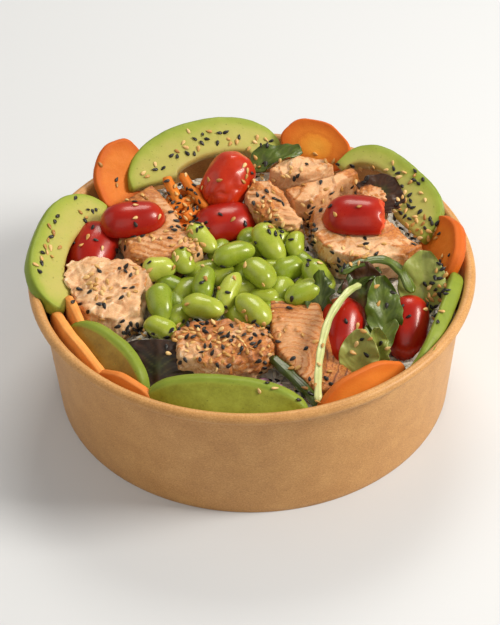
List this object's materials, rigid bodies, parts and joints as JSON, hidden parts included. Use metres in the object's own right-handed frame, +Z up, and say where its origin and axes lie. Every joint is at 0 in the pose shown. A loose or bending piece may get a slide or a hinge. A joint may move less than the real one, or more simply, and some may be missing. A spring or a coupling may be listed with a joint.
{
  "type": "salmon rice bowl",
  "caption": "Round paper takeaway bowl heaped with rice, flaked salmon, soya beans, tomato, avocado, carrot and salad leaves under sesame.",
  "frame": {"origin": "centre of the bowl in the plane that it stands on", "axes": "+Z up along the bowl's axis, -Y towards the eater and the camera, +X to the eater's right"},
  "size_m": [0.1861, 0.1849, 0.0755],
  "materials": {
    "paper": "brown kraft paper with a light grease-proof sheen",
    "rice": "moist white cooked rice",
    "bean": "smooth, slightly wet green bean skin",
    "tomato": "glossy red tomato skin",
    "salmon": "cooked salmon flakes with a browned, slightly oily face",
    "avocado": "soft avocado flesh, yellow within and green at the rind side",
    "carrot": "moist cut carrot",
    "green_leaf": "fresh green salad leaf",
    "red_leaf": "dark red-brown salad leaf",
    "stem": "pale green leaf stalk",
    "cabbage": "shredded red cabbage"
  },
  "bodies": {
    "root": {"bowl_wall": "paper", "bowl_base": "paper", "rice": "rice", "edamame": "bean", "tomato_back": "tomato", "tomato_front": "tomato", "tomato_left": "tomato", "tomato_middle": "tomato", "tomato_on_salmon_left": "tomato", "tomato_on_salmon_right": "tomato", "tomato_right": "tomato", "salmon_back": "salmon", "salmon_back_left": "salmon", "salmon_back_right": "salmon", "salmon_front": "salmon", "salmon_front_right": "salmon", "salmon_left": "salmon", "salmon_middle": "salmon", "salmon_right": "salmon", "salmon_small": "salmon", "avocado_back": "avocado", "avocado_back_right": "avocado", "avocado_front": "avocado", "avocado_front_left": "avocado", "avocado_left": "avocado", "avocado_right": "avocado", "carrot_back": "carrot", "carrot_back_left": "carrot", "carrot_front_left": "carrot", "carrot_front_right": "carrot", "carrot_left": "carrot", "carrot_left_inner": "carrot", "carrot_right": "carrot", "carrot_sticks": "carrot", "folded_leaf": "green_leaf", "rocket_leaf": "green_leaf", "round_leaf": "green_leaf", "small_leaf": "green_leaf", "spinach_back": "green_leaf", "spinach_far_right": "green_leaf", "spinach_low": "green_leaf", "spinach_right": "green_leaf", "brown_leaf": "red_leaf", "red_leaf_front": "red_leaf", "red_leaf_right": "red_leaf", "front_stem": "stem", "green_stem": "stem", "pale_stem": "stem", "cabbage": "cabbage"}
  },
  "joints": []
}
